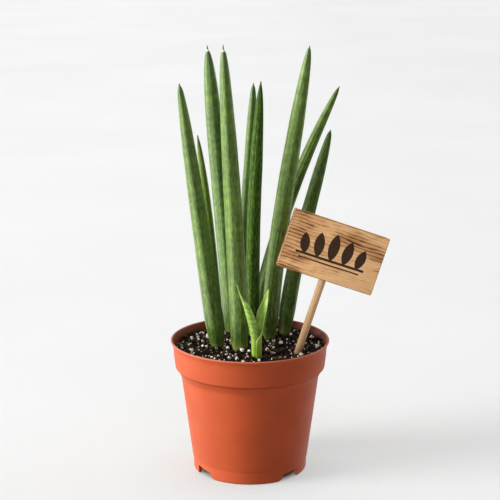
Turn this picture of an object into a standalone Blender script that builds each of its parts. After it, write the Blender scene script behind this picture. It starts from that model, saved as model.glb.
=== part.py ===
# Cylindrical snake plant in a plastic nursery pot, with a wooden label on a stick.
# Units are metres, +Z is up, and the pot stands on Z = 0.
# The plant is laid out from the pot's own axis and then moved as a whole, so that the
# origin lies under the middle of its bounding box.

import math
import random
from dataclasses import dataclass

import bmesh
import bpy
from mathutils import Euler, Vector, noise

MM = 0.001
GAP = 0.3 * MM            # clearance between pieces that touch
MERGE = 0.001 * MM        # distance for welding doubled vertices
ROD_SIDES = 20            # sides of the round stick and of the round holes in the soil

# Driving dimensions of the pot, a 12 cm nursery pot
LIP_RADIUS = 60 * MM
POT_HEIGHT = 101.3 * MM
WALL = 1.2 * MM
LIP_INNER_RADIUS = 57.6 * MM
LIP_DEPTH = 2.6 * MM
LIP_ROUNDING = 0.7 * MM
BAND_TOP_RADIUS = 57.8 * MM
BAND_BOTTOM_RADIUS = 56.6 * MM
BAND_BOTTOM = 80.5 * MM
BODY_TOP_RADIUS = 52.2 * MM
BODY_TOP = 73.5 * MM
BODY_BOTTOM_RADIUS = 43.8 * MM
BODY_BOTTOM = 10 * MM
FOOT_RADIUS = 43.4 * MM
FOOT_WIDTH = 2.8 * MM
FOOT_ROUNDING = 0.6 * MM
EDGE = 0.5 * MM           # how far the edges of the band and body are eased
FLOOR_UNDERSIDE = 8.6 * MM
POT_STEPS = 48

# Four gaps in the foot ring, and the drainage holes. The front and back feet have large
# round corners, and the gaps rise from there to the square corners of the side feet.
FOOT_GAP_ANGLES = (36, 126, 216, 315)
FOOT_GAP_WIDTH = 15 * MM
FOOT_GAP_HEIGHT = 6.8 * MM
FOOT_ROUND_CORNER = 5 * MM
FOOT_SQUARE_CORNER = 1.6 * MM
FOOT_CORNER_STEPS = 4
DRAIN_COUNT = 8
DRAIN_RADIUS = 3.5 * MM
DRAIN_CIRCLE = 27 * MM

# Soil surface, a low mound that is highest round the plant
SOIL_EDGE = 94.3 * MM
SOIL_CROWN = 3.7 * MM
SOIL_ROUGHNESS = 0.7 * MM
SOIL_NOISE_SIZE = 9 * MM
SOIL_RINGS = 7
GRAIN_COUNT = 100
GRAIN_SMALLEST = 0.9 * MM
GRAIN_LARGEST = 2.1 * MM
GRAIN_FLATTEST = 0.8
GRAIN_LONGEST = 1.15
GRAIN_LIFT = 0.15
GRAIN_SEED = 12
GRAIN_SPACING = 1.2
STEM_CLEARANCE = 1.2 * MM
WALL_CLEARANCE = 2.2 * MM

# Leaves: sides of the ribbed section, how deep a groove goes, and the buried length
LEAF_SIDES = 14
LEAF_RINGS = 18
GROOVE_DEPTH = 0.04
BURIED = 26 * MM
BURIED_TAPER = 0.62
BASE_TAPER_HEIGHT = 12 * MM
SPINE_FOOT_RADIUS = 0.55 * MM
SPINE_END_RADIUS = 0.3 * MM
HOLE_RINGS = 4

# Young shoot in front: its foot from the pot's axis and the radius of its sheath
SHOOT_FOOT = (4.7 * MM, -31 * MM)
SHOOT_BURIED = 18 * MM
SHEATH_RADIUS = 4.2 * MM
SHOOT_HOLE_TOP = 8 * MM
CRESCENT_POINTS = 8

# Wooden label: board, stick and how the whole label leans
BOARD_WIDTH = 75 * MM
BOARD_HEIGHT = 44.5 * MM
BOARD_THICKNESS = 8 * MM
BOARD_BEVEL = 0.8 * MM
STICK_RADIUS = 2.8 * MM
STICK_ENTERS = 14 * MM
STICK_BURIED = 34 * MM
STICK_FOOT = (35.1 * MM, -20.7 * MM, 95.5 * MM)
STICK_VISIBLE = 58.6 * MM
STICK_HOLE_TOP = 12 * MM
SOCKET_BELOW = 5 * MM
BOARD_OFF_CENTRE = 0.7 * MM
LABEL_ROLL = 19.8
LABEL_LEAN = 6
LABEL_YAW = 9


@dataclass
class Leaf:
    """One mature leaf, in millimetres from the pot's axis.

    foot: where its middle line meets the soil.
    tip: where the green body ends.
    low_bend, high_bend: how far the middle line is pulled sideways, low down and high up.
    back_bend: the same for its depth, at both heights.
    girth: widest diameter. full: how long it stays wide. point: how blunt its end is.
    waist: its width at the soil as a share of the girth. spine: length of the dry point.
    """
    name: str
    foot: tuple
    tip: tuple
    low_bend: float
    high_bend: float
    back_bend: float
    girth: float
    full: float
    point: float
    waist: float
    spine: float


LEAVES = (
    Leaf("leaf_outer_left", (-24, -8), (-50.5, -22, 296.5), 0, 0.5, -2, 14.7, 1.4, 0.37, 0.7, 1.5),
    Leaf("leaf_thin_left", (-24.5, 38), (-40, 47, 248), 0.5, 2.5, 2, 8.5, 3, 0.54, 0.85, 1),
    Leaf("leaf_tall_left", (-14, 33), (-31.5, 26, 317), 1, 0, 3, 12.8, 7.7, 0.53, 0.87, 3),
    Leaf("leaf_tall_centre", (-7.5, -15.5), (-19, -24, 322.5), 2, 0, -2, 14.5, 2, 0.36, 0.84, 3.5),
    Leaf("leaf_middle_back", (-6, 43), (2.5, 50, 287.5), -1.5, 1, 2, 10.5, 4.6, 0.46, 0.85, 1),
    Leaf("leaf_middle_front", (3, 20), (8, 17, 293.5), -4.5, -2, 0, 10.5, 5.5, 0.64, 0.83, 1),
    Leaf("leaf_tall_right", (14.5, 10.5), (43, -3, 322), -6.5, -2, -3, 13.5, 3.6, 0.47, 0.7, 1),
    Leaf("leaf_leaning_right", (3, 33), (68, 56, 284.5), -11, -10, 3, 10.6, 3.1, 0.45, 0.85, 1),
    Leaf("leaf_outer_right", (26.5, 25), (61, 40, 253.5), -6.5, -2, 2, 12.5, 2.5, 0.42, 0.68, 1),
)


def clear_scene():
    """Empty the scene of whatever it opens with."""
    for found in list(bpy.data.objects):
        bpy.data.objects.remove(found, do_unlink=True)


def new_collection(name):
    collection = bpy.data.collections.new(name)
    bpy.context.scene.collection.children.link(collection)
    return collection


def material(name, color, roughness):
    """A plain Principled material."""
    made = bpy.data.materials.new(name)
    made.use_nodes = True
    shader = made.node_tree.nodes["Principled BSDF"]
    shader.inputs["Base Color"].default_value = (*color, 1.0)
    shader.inputs["Roughness"].default_value = roughness
    shader.inputs["Metallic"].default_value = 0.0
    return made


def add_object(name, mesh, collection, parent, surface=None):
    """Put a mesh in a collection, under its parent, with its material."""
    made = bpy.data.objects.new(name, mesh)
    collection.objects.link(made)
    made.parent = parent
    if surface:
        mesh.materials.clear()
        mesh.materials.append(surface)
    return made


def smooth(mesh, angle=35):
    """Shade a mesh smooth, apart from edges sharper than an angle in degrees."""
    mesh.shade_smooth()
    mesh.set_sharp_from_angle(angle=math.radians(angle))


def hide_cutter(cutter):
    cutter.hide_render = True
    cutter.display_type = "WIRE"


def turned(name, profile, steps, collection, parent, surface=None):
    """Turn a profile of (radius, height) about Z. It starts and ends on the axis."""
    mesh = bpy.data.meshes.new(name)
    points = [(radius, 0, height) for radius, height in profile]
    edges = [(i, i + 1) for i in range(len(points) - 1)]
    mesh.from_pydata(points, edges, [])
    made = add_object(name, mesh, collection, parent, surface)
    screw = made.modifiers.new("turn", "SCREW")
    screw.steps = steps
    screw.render_steps = steps
    screw.use_merge_vertices = True
    screw.merge_threshold = MERGE
    screw.use_smooth_shade = True
    return made


def evaluated_mesh(source, name):
    """The mesh of an object with its modifiers, in its own space, with doubles welded."""
    bpy.context.view_layer.update()
    graph = bpy.context.evaluated_depsgraph_get()
    mesh = bpy.data.meshes.new_from_object(source.evaluated_get(graph))
    mesh.name = name
    shell = bmesh.new()
    shell.from_mesh(mesh)
    bmesh.ops.remove_doubles(shell, verts=shell.verts, dist=MERGE)
    bmesh.ops.recalc_face_normals(shell, faces=shell.faces)
    shell.to_mesh(mesh)
    shell.free()
    return mesh


def add_boolean(target, operation, collection):
    """Cut a whole collection out of an object, or join it on."""
    boolean = target.modifiers.new(operation.lower(), "BOOLEAN")
    boolean.operation = operation
    boolean.operand_type = "COLLECTION"
    boolean.collection = collection


def primitive_mesh(name, shell):
    """Turn a finished bmesh into a named mesh."""
    mesh = bpy.data.meshes.new(name)
    shell.to_mesh(mesh)
    shell.free()
    return mesh


def cylinder_along_z(name, radius, bottom, top, collection, parent, surface=None):
    """A closed cylinder between two heights, centred on its parent's Z axis."""
    rod = bmesh.new()
    bmesh.ops.create_cone(rod, cap_ends=True, segments=ROD_SIDES, radius1=radius,
                          radius2=radius, depth=top - bottom)
    bmesh.ops.translate(rod, vec=(0, 0, (top + bottom) / 2), verts=rod.verts)
    mesh = primitive_mesh(name, rod)
    smooth(mesh)
    return add_object(name, mesh, collection, parent, surface)


# Pot

def body_radius(height):
    """Outer radius of the tapered body at a height."""
    share = (height - BODY_BOTTOM) / (BODY_TOP - BODY_BOTTOM)
    return BODY_BOTTOM_RADIUS + share * (BODY_TOP_RADIUS - BODY_BOTTOM_RADIUS)


def inner_wall():
    """Inside of the pot from the floor's edge up to the lip, as (radius, height)."""
    floor_top = FLOOR_UNDERSIDE + WALL
    corner = 1.25 * WALL
    return [
        (body_radius(floor_top) - WALL - corner, floor_top),
        (body_radius(floor_top) - WALL, floor_top + corner),
        (BODY_TOP_RADIUS - WALL, BODY_TOP),
        (BAND_BOTTOM_RADIUS - WALL, BAND_BOTTOM + WALL),
        (BAND_TOP_RADIUS - WALL, POT_HEIGHT - 1.7 * LIP_DEPTH),
        (LIP_INNER_RADIUS, POT_HEIGHT - WALL),
    ]


def lip_bead():
    """The rounded lip from its inner top edge over to its underside."""
    bead = LIP_RADIUS - LIP_INNER_RADIUS
    shoulder = POT_HEIGHT - LIP_ROUNDING / 4
    underside = POT_HEIGHT - LIP_DEPTH
    return [
        (LIP_INNER_RADIUS + bead / 5, shoulder),
        (LIP_INNER_RADIUS + bead / 2, POT_HEIGHT),
        (LIP_RADIUS - LIP_ROUNDING, shoulder),
        (LIP_RADIUS, shoulder - LIP_ROUNDING),
        (LIP_RADIUS, underside + LIP_ROUNDING),
        (LIP_RADIUS - LIP_ROUNDING, underside),
        (BAND_TOP_RADIUS + LIP_ROUNDING / 8, underside - LIP_ROUNDING / 4),
    ]


def outer_wall():
    """Band, slanted shoulder and tapered body, down to the step above the foot."""
    return [
        (BAND_BOTTOM_RADIUS, BAND_BOTTOM + EDGE),
        (BAND_BOTTOM_RADIUS - 0.4 * EDGE, BAND_BOTTOM),
        (BAND_BOTTOM_RADIUS - 2 * EDGE, BAND_BOTTOM - 1.6 * EDGE),
        (BODY_TOP_RADIUS + EDGE, BODY_TOP + 2 * EDGE),
        (body_radius(BODY_TOP - 3 * EDGE), BODY_TOP - 3 * EDGE),
        (BODY_BOTTOM_RADIUS, BODY_BOTTOM),
        (FOOT_RADIUS, BODY_BOTTOM - EDGE),
    ]


def foot_ring():
    """The ring that the pot stands on, and the floor's underside within it."""
    outside = FOOT_RADIUS - 0.8 * EDGE
    inside = FOOT_RADIUS - FOOT_WIDTH
    return [
        (outside, FOOT_ROUNDING),
        (outside - FOOT_ROUNDING, 0),
        (inside, 0),
        (inside, FLOOR_UNDERSIDE),
    ]


def make_pot(collection, cutters, parent):
    floor_top = FLOOR_UNDERSIDE + WALL
    profile = [(0, floor_top), *inner_wall(), *lip_bead(), *outer_wall(), *foot_ring(),
               (0, FLOOR_UNDERSIDE)]
    plastic = material("terracotta_plastic", (0.55, 0.13, 0.045), 0.45)
    pot = turned("pot", profile, POT_STEPS, collection, parent, plastic)
    for number, angle in enumerate(FOOT_GAP_ANGLES, start=1):
        add_foot_gap(number, math.radians(angle), cutters, parent)
    for number in range(DRAIN_COUNT):
        angle = (number + 0.5) * math.tau / DRAIN_COUNT
        add_drain_hole(number + 1, angle, cutters, parent)
    add_boolean(pot, "DIFFERENCE", cutters)
    return pot


def foot_corner(radius):
    """The rounded lower corner of a foot beside a gap, as (across, up), from below."""
    half = FOOT_GAP_WIDTH / 2
    corner = [(half + radius, -radius)]
    for step in range(FOOT_CORNER_STEPS + 1):
        angle = step * math.pi / 2 / FOOT_CORNER_STEPS
        corner.append((half + radius * (1 - math.sin(angle)), radius * (1 - math.cos(angle))))
    return corner


def foot_gap_outline(side):
    """The gap seen from outside, as (across, up). side: 1 or -1, where its round corner is."""
    half = FOOT_GAP_WIDTH / 2
    square = foot_corner(FOOT_SQUARE_CORNER)
    square.append((half, FOOT_GAP_HEIGHT - EDGE))
    square.append((half - EDGE, FOOT_GAP_HEIGHT))
    outline = foot_corner(FOOT_ROUND_CORNER)
    outline += [(-across, up) for across, up in reversed(square)]
    if side < 0:
        outline = [(-across, up) for across, up in reversed(outline)]
    return outline


def add_foot_gap(number, angle, cutters, parent):
    """An extruded outline that cuts one gap through the foot ring."""
    outline = foot_gap_outline(1 if number % 2 else -1)
    curve = bpy.data.curves.new(f"foot_gap_outline_{number}", "CURVE")
    curve.dimensions = "2D"
    curve.fill_mode = "BOTH"
    curve.extrude = 1.5 * FOOT_WIDTH
    spline = curve.splines.new("POLY")
    spline.points.add(len(outline) - 1)
    spline.use_cyclic_u = True
    for point, (across, up) in zip(spline.points, outline):
        point.co = (across, up, 0, 1)
    source = add_object(curve.name, curve, cutters, parent)
    cutter = add_object(f"foot_gap_{number}", evaluated_mesh(source, f"foot_gap_{number}"),
                        cutters, parent)
    bpy.data.objects.remove(source, do_unlink=True)
    middle = FOOT_RADIUS - FOOT_WIDTH / 2
    cutter.location = (middle * math.cos(angle), middle * math.sin(angle), 0)
    cutter.rotation_euler = (math.pi / 2, 0, angle + math.pi / 2)
    hide_cutter(cutter)


def add_drain_hole(number, angle, cutters, parent):
    """A cylinder that cuts one drainage hole through the floor."""
    drill = bmesh.new()
    bmesh.ops.create_cone(drill, cap_ends=True, segments=12, radius1=DRAIN_RADIUS,
                          radius2=DRAIN_RADIUS, depth=6 * WALL)
    mesh = primitive_mesh(f"drain_hole_{number}", drill)
    cutter = add_object(mesh.name, mesh, cutters, parent)
    cutter.location = (DRAIN_CIRCLE * math.cos(angle), DRAIN_CIRCLE * math.sin(angle),
                       FLOOR_UNDERSIDE + WALL / 2)
    hide_cutter(cutter)


# Soil

def mound_height(x, y):
    """Height of the soil without its small rises and dips."""
    share = min(math.hypot(x, y) / BAND_TOP_RADIUS, 1.0)
    return SOIL_EDGE + SOIL_CROWN * (1 - share ** 2)


def soil_height(x, y):
    """Height of the soil's surface, a mound with small rises and dips."""
    rough = noise.noise(Vector((x, y, 0)) / SOIL_NOISE_SIZE)
    return mound_height(x, y) + SOIL_ROUGHNESS * rough


def soil_block(collection, parent, surface):
    """The soil without grains and holes: it fills the pot up to its own uneven top."""
    walls = inner_wall()
    inset = 1.5 * GAP
    top_radius = walls[4][0] - inset
    profile = []
    for ring in range(SOIL_RINGS):
        profile.append((top_radius * ring / SOIL_RINGS, SOIL_EDGE))
    profile.append((top_radius, SOIL_EDGE))
    for radius, height in reversed(walls[:4]):
        profile.append((radius - inset, height + GAP))
    profile.append((0, walls[0][1] + GAP))
    soil = turned("soil", profile, POT_STEPS, collection, parent)
    mesh = evaluated_mesh(soil, "soil")
    bpy.data.objects.remove(soil, do_unlink=True)
    for vertex in mesh.vertices:
        if vertex.co.z > SOIL_EDGE - GAP:
            vertex.co.z = soil_height(vertex.co.x, vertex.co.y)
    return add_object("soil", mesh, collection, parent, surface)


def is_free(x, y, radius, taken):
    """Whether a grain fits between the pot's wall, the stems and the grains before it."""
    if math.hypot(x, y) + radius > LIP_INNER_RADIUS - WALL_CLEARANCE:
        return False
    return all(math.hypot(x - u, y - v) > radius + other for u, v, other in taken)


def add_grains(soil, collection, parent):
    """Perlite and crumbs on the surface, scattered by a seeded rule and fused to the soil."""
    draw = random.Random(GRAIN_SEED)
    taken = [(x, y, radius + STEM_CLEARANCE) for x, y, radius in stems()]
    while len(collection.objects) < GRAIN_COUNT:
        angle = draw.uniform(0, math.tau)
        distance = LIP_INNER_RADIUS * math.sqrt(draw.random())
        x = distance * math.cos(angle)
        y = distance * math.sin(angle)
        radius = draw.uniform(GRAIN_SMALLEST, GRAIN_LARGEST)
        squash = [draw.uniform(GRAIN_FLATTEST, GRAIN_LONGEST) for _ in range(3)]
        turn = [draw.uniform(0, math.tau) for _ in range(3)]
        if not is_free(x, y, GRAIN_LONGEST * radius, taken):
            continue
        taken.append((x, y, GRAIN_SPACING * radius))
        ball = bmesh.new()
        bmesh.ops.create_icosphere(ball, subdivisions=1, radius=radius)
        bmesh.ops.scale(ball, vec=squash, verts=ball.verts)
        grain = add_object("grain", primitive_mesh("grain", ball), collection, parent)
        grain.location = (x, y, soil_height(x, y) + GRAIN_LIFT * radius)
        grain.rotation_euler = turn
    add_boolean(soil, "UNION", collection)
    fused = evaluated_mesh(soil, "soil")
    for grain in list(collection.objects):
        bpy.data.objects.remove(grain, do_unlink=True)
    soil.modifiers.clear()
    soil.data = fused


def stems():
    """Every place where something stands in the soil, as (x, y, radius)."""
    places = [(leaf.foot[0] * MM, leaf.foot[1] * MM, leaf.girth * MM / 2) for leaf in LEAVES]
    places.append((*SHOOT_FOOT, SHEATH_RADIUS))
    places.append((STICK_FOOT[0], STICK_FOOT[1], 1.2 * STICK_RADIUS))
    return places


# Leaves

def leaf_section(collection):
    """The ribbed cross-section that is swept along every leaf, with a radius of 1."""
    curve = bpy.data.curves.new("leaf_section", "CURVE")
    curve.dimensions = "2D"
    outline = curve.splines.new("POLY")
    outline.points.add(LEAF_SIDES - 1)
    for side, point in enumerate(outline.points):
        angle = side * math.tau / LEAF_SIDES
        radius = 1 - GROOVE_DEPTH * (side % 2)
        point.co = (radius * math.cos(angle), radius * math.sin(angle), 0, 1)
    outline.use_cyclic_u = True
    section = bpy.data.objects.new("leaf_section", curve)
    collection.objects.link(section)
    hide_cutter(section)
    return section


def on_mound(x, y):
    return Vector((x, y, mound_height(x, y)))


def station(ring):
    """Where a ring lies along its leaf, from 0 to 1, closest together at both ends."""
    return (1 - math.cos(math.pi * ring / LEAF_RINGS)) / 2


def leaf_point(leaf, t):
    """A point on the leaf's middle line, from the soil at 0 to the tip at 1."""
    foot = on_mound(leaf.foot[0] * MM, leaf.foot[1] * MM)
    tip = Vector(leaf.tip) * MM
    low = Vector((leaf.low_bend, leaf.back_bend, 0)) * MM
    high = Vector((leaf.high_bend, leaf.back_bend, 0)) * MM
    straight = foot.lerp(tip, t)
    return straight + low * 3 * t * (1 - t) ** 2 + high * 3 * t ** 2 * (1 - t)


def leaf_radius(leaf, t):
    """The leaf's radius, wide low down, narrower at the soil and pointed at the tip."""
    height = t * (leaf.tip[2] * MM - SOIL_EDGE)
    waist = 1 - (1 - leaf.waist) * math.exp(-(height / BASE_TAPER_HEIGHT) ** 2)
    return leaf.girth * MM / 2 * (1 - t ** leaf.full) ** leaf.point * waist


def buried_rings(leaf, clearance=0.0):
    """Rings under the soil, where the leaf narrows to its root end."""
    foot = leaf_point(leaf, 0)
    down = (foot - leaf_point(leaf, station(2))).normalized()
    radius = leaf_radius(leaf, 0)
    return [
        (foot + down * (BURIED + clearance), radius * BURIED_TAPER + clearance),
        (foot + down * BURIED / 2, radius * (1 + BURIED_TAPER) / 2 + clearance),
    ]


def leaf_rings(leaf):
    """The whole leaf as (point, radius), from its root end to the end of its dry point."""
    rings = buried_rings(leaf)
    for ring in range(LEAF_RINGS):
        t = station(ring)
        rings.append((leaf_point(leaf, t), leaf_radius(leaf, t)))
    tip = leaf_point(leaf, 1)
    along = (tip - rings[-1][0]).normalized()
    rings.append((tip, SPINE_FOOT_RADIUS))
    rings.append((tip + along * leaf.spine * MM, SPINE_END_RADIUS))
    return rings


def hole_rings(leaf):
    """The hole that the leaf stands in: its buried part with clearance, and open above."""
    rings = buried_rings(leaf, GAP)
    for ring in range(HOLE_RINGS):
        t = station(ring)
        rings.append((leaf_point(leaf, t), leaf_radius(leaf, t) + GAP))
    return rings


def swept(name, rings, section, collection, parent, surface=None):
    """Sweep the ribbed section along rings of (point, radius), as one closed mesh."""
    curve = bpy.data.curves.new(name, "CURVE")
    curve.dimensions = "3D"
    curve.bevel_mode = "OBJECT"
    curve.bevel_object = section
    curve.use_fill_caps = True
    curve.twist_mode = "MINIMUM"
    spline = curve.splines.new("POLY")
    spline.points.add(len(rings) - 1)
    for point, (place, radius) in zip(spline.points, rings):
        point.co = (*place, 1)
        point.radius = radius
    source = add_object(name + "_curve", curve, collection, parent)
    bpy.context.view_layer.update()
    mesh = evaluated_mesh(source, name)
    made = add_object(name, mesh, collection, parent, surface)
    made.matrix_world = source.matrix_world.copy()
    bpy.data.objects.remove(source, do_unlink=True)
    smooth(mesh, 60)
    return made


# Young shoot

def spear_rings():
    """The shoot's left leaf, a small spear that ends in a long thin point.

    Each ring gives its middle (x, y, z) from the shoot's foot and its radius, in millimetres.
    """
    foot = on_mound(*SHOOT_FOOT)
    rings = (
        (-1.0, 0.0, -SHOOT_BURIED / MM, 2.0),
        (-1.0, 0.0, 0.0, 2.9),
        (-1.0, 0.0, 12.0, 2.9),
        (-1.75, -0.1, 19.0, 3.4),
        (-3.1, -0.5, 26.0, 3.6),
        (-5.0, -1.0, 32.5, 3.3),
        (-7.6, -1.5, 39.0, 2.3),
        (-9.9, -1.8, 43.0, 1.1),
        (-12.0, -2.1, 48.0, 0.55),
        (-14.7, -2.5, 56.0, 0.3),
    )
    return [(foot + Vector((x, y, z)) * MM, radius * MM) for x, y, z, radius in rings]


def make_spear(collection, parent, surface):
    """The shoot's left leaf as a tube whose radius follows its rings."""
    curve = bpy.data.curves.new("shoot_spear_leaf", "CURVE")
    curve.dimensions = "3D"
    curve.bevel_depth = 1.0
    curve.bevel_resolution = 2
    curve.use_fill_caps = True
    rings = spear_rings()
    spline = curve.splines.new("POLY")
    spline.points.add(len(rings) - 1)
    for point, (place, radius) in zip(spline.points, rings):
        point.co = (*place, 1)
        point.radius = radius
    source = add_object("shoot_spear_curve", curve, collection, parent)
    mesh = evaluated_mesh(source, "shoot_spear_leaf")
    bpy.data.objects.remove(source, do_unlink=True)
    smooth(mesh, 60)
    add_object(mesh.name, mesh, collection, parent, surface)


def crescent(centre, radius, margins, walls):
    """Points round a channelled leaf, along its outside and back along its inside.

    margins: the angles in degrees where the crescent starts and ends.
    walls: its thickness in the middle and at the margins.
    """
    start, end = margins
    middle, edge = walls
    outside = []
    inside = []
    for step in range(CRESCENT_POINTS):
        share = step / (CRESCENT_POINTS - 1)
        angle = math.radians(start + share * (end - start))
        wall = edge + (middle - edge) * math.sin(math.pi * share)
        outward = Vector((math.cos(angle), math.sin(angle), 0))
        outside.append(centre + radius * outward)
        inside.append(centre + (radius - wall) * outward)
    return outside + inside[::-1]


def make_sheath_leaf(collection, parent, surface):
    """The shoot's right leaf: a sheath round the spear's foot that opens into a channel.

    Each level gives the crescent's middle (x, y, z) from the shoot's foot and its radius in
    millimetres, the angles of its front and back margins, and its wall in the middle and at
    the margins.
    """
    foot = on_mound(*SHOOT_FOOT)
    levels = (
        (0.0, 0.0, -SHOOT_BURIED / MM, 4.2, -98, 98, 1.95, 0.85),
        (0.0, 0.0, 0.0, 4.2, -98, 98, 1.95, 0.85),
        (0.0, 0.0, 8.0, 4.2, -98, 98, 1.95, 0.85),
        (0.0, 0.0, 13.0, 4.2, -96, 97, 1.9, 0.8),
        (0.3, 0.0, 16.0, 4.2, -60, 96, 1.4, 0.7),
        (0.5, 0.1, 19.0, 4.2, -15, 98, 1.1, 0.7),
        (1.6, 0.4, 25.0, 4.2, -13, 120, 1.1, 0.7),
        (3.2, 0.5, 32.0, 4.1, -13, 157, 1.1, 0.7),
        (5.6, 0.8, 39.5, 3.1, 2, 142, 1.0, 0.7),
        (7.2, 1.2, 45.5, 2.4, 30, 114, 0.9, 0.6),
        (8.5, 1.4, 51.0, 1.8, 62, 82, 0.6, 0.6),
    )
    shell = bmesh.new()
    rings = []
    for x, y, z, radius, front, back, middle, edge in levels:
        centre = foot + Vector((x, y, z)) * MM
        ring = crescent(centre, radius * MM, (front, back), (middle * MM, edge * MM))
        rings.append([shell.verts.new(point) for point in ring])
    for lower, upper in zip(rings, rings[1:]):
        for here in range(len(lower)):
            after = (here + 1) % len(lower)
            shell.faces.new((lower[here], lower[after], upper[after], upper[here]))
    for ring in (rings[0], rings[-1]):
        for side in range(CRESCENT_POINTS - 1):
            other = len(ring) - 1 - side
            shell.faces.new((ring[side], ring[side + 1], ring[other - 1], ring[other]))
    bmesh.ops.recalc_face_normals(shell, faces=shell.faces)
    bmesh.ops.triangulate(shell, faces=shell.faces)
    mesh = primitive_mesh("shoot_sheath_leaf", shell)
    smooth(mesh, 50)
    add_object(mesh.name, mesh, collection, parent, surface)


def add_shoot_hole(cutters, parent):
    """A plain round hole in the soil for the shoot."""
    hole = cylinder_along_z("shoot_hole", SHEATH_RADIUS + 1.2 * GAP, -SHOOT_BURIED - GAP,
                            SHOOT_HOLE_TOP, cutters, parent)
    hole.location = on_mound(*SHOOT_FOOT)
    hide_cutter(hole)


# Label

def label_turn():
    """How the label is turned in its own plane, leans and faces, in that order."""
    angles = [math.radians(angle) for angle in (-LABEL_LEAN, LABEL_ROLL, LABEL_YAW)]
    return Euler(angles, "YXZ")


def label_reach():
    """How far the board reaches to the right of the pot's axis."""
    foot = Vector(STICK_FOOT)
    turn = label_turn().to_matrix()
    reach = []
    for x in (BOARD_OFF_CENTRE - BOARD_WIDTH / 2, BOARD_OFF_CENTRE + BOARD_WIDTH / 2):
        for y in (-BOARD_THICKNESS / 2, BOARD_THICKNESS / 2):
            for z in (STICK_VISIBLE, STICK_VISIBLE + BOARD_HEIGHT):
                corner = foot + turn @ Vector((x, y, z))
                reach.append(corner.x)
    return max(reach)


def label_frame(collection, parent):
    """An empty where the stick meets the soil, tilted as the whole label is."""
    frame = bpy.data.objects.new("label_frame", None)
    collection.objects.link(frame)
    frame.parent = parent
    frame.location = STICK_FOOT
    frame.rotation_mode = "YXZ"
    frame.rotation_euler = label_turn()
    return frame


def make_label(collection, cutters, soil_holes, parent):
    frame = label_frame(collection, parent)
    pine = material("scorched_pine", (0.62, 0.36, 0.16), 0.6)
    birch = material("pale_dowel", (0.6, 0.4, 0.24), 0.6)

    cylinder_along_z("label_stick", STICK_RADIUS, -STICK_BURIED, STICK_VISIBLE + STICK_ENTERS,
                     collection, frame, birch)
    hole = cylinder_along_z("stick_hole", STICK_RADIUS + GAP, -STICK_BURIED - GAP,
                            STICK_HOLE_TOP, soil_holes, frame)
    hide_cutter(hole)

    block = bmesh.new()
    bmesh.ops.create_cube(block, size=1)
    bmesh.ops.scale(block, vec=(BOARD_WIDTH, BOARD_THICKNESS, BOARD_HEIGHT), verts=block.verts)
    board = add_object("label_board", primitive_mesh("label_board", block), collection, frame,
                       pine)
    board.location = (BOARD_OFF_CENTRE, 0, STICK_VISIBLE + BOARD_HEIGHT / 2)
    bevel = board.modifiers.new("eased_edges", "BEVEL")
    bevel.width = BOARD_BEVEL
    bevel.segments = 2

    socket = cylinder_along_z("stick_socket", STICK_RADIUS + GAP, STICK_VISIBLE - SOCKET_BELOW,
                              STICK_VISIBLE + STICK_ENTERS + GAP, cutters, frame)
    hide_cutter(socket)
    add_boolean(board, "DIFFERENCE", cutters)


def build():
    clear_scene()
    plant_parts = new_collection("cylindrical_snake_plant")
    pot_cutters = new_collection("pot_cutters")
    soil_holes = new_collection("soil_holes")
    board_cutters = new_collection("board_cutters")
    grains = new_collection("soil_grains")

    # The label reaches further out than the pot, so the pot's axis is off the origin
    pot_axis = bpy.data.objects.new("pot_axis", None)
    pot_axis.location = ((LIP_RADIUS - label_reach()) / 2, 0, 0)
    plant_parts.objects.link(pot_axis)

    make_pot(plant_parts, pot_cutters, pot_axis)

    peat = material("potting_soil", (0.035, 0.022, 0.015), 0.95)
    soil = soil_block(plant_parts, pot_axis, peat)
    add_grains(soil, grains, pot_axis)
    bpy.data.collections.remove(grains)

    section = leaf_section(soil_holes)
    for leaf in LEAVES:
        green = material(leaf.name + "_green", (0.08, 0.2, 0.035), 0.45)
        swept(leaf.name, leaf_rings(leaf), section, plant_parts, pot_axis, green)
        hide_cutter(swept(leaf.name + "_hole", hole_rings(leaf), section, soil_holes, pot_axis))
    bpy.data.objects.remove(section, do_unlink=True)

    spear_green = material("shoot_spear_green", (0.32, 0.45, 0.08), 0.4)
    sheath_green = material("shoot_sheath_green", (0.2, 0.42, 0.04), 0.4)
    make_spear(plant_parts, pot_axis, spear_green)
    make_sheath_leaf(plant_parts, pot_axis, sheath_green)
    add_shoot_hole(soil_holes, pot_axis)

    make_label(plant_parts, board_cutters, soil_holes, pot_axis)
    add_boolean(soil, "DIFFERENCE", soil_holes)


build()
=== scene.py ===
# %% [markdown]
# # A cylindrical snake plant in its nursery pot
#
# A measured CAD model of the plant is loaded first, with the right sizes and places and plain
# faceted surfaces. Each part then gets the look of the real thing: ribbed and banded leaves, a
# moulded plastic pot, peat with white perlite, and a scorched wooden label. Lengths are in
# metres, +Z is up, and the pot stands on Z = 0.

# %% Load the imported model
import random
from collections import namedtuple
from math import atan2, cos, exp, hypot, pi, radians, sin, sqrt, tau

import bmesh
import bpy
from mathutils import Euler, Matrix, Vector
from mathutils.bvhtree import BVHTree


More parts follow.
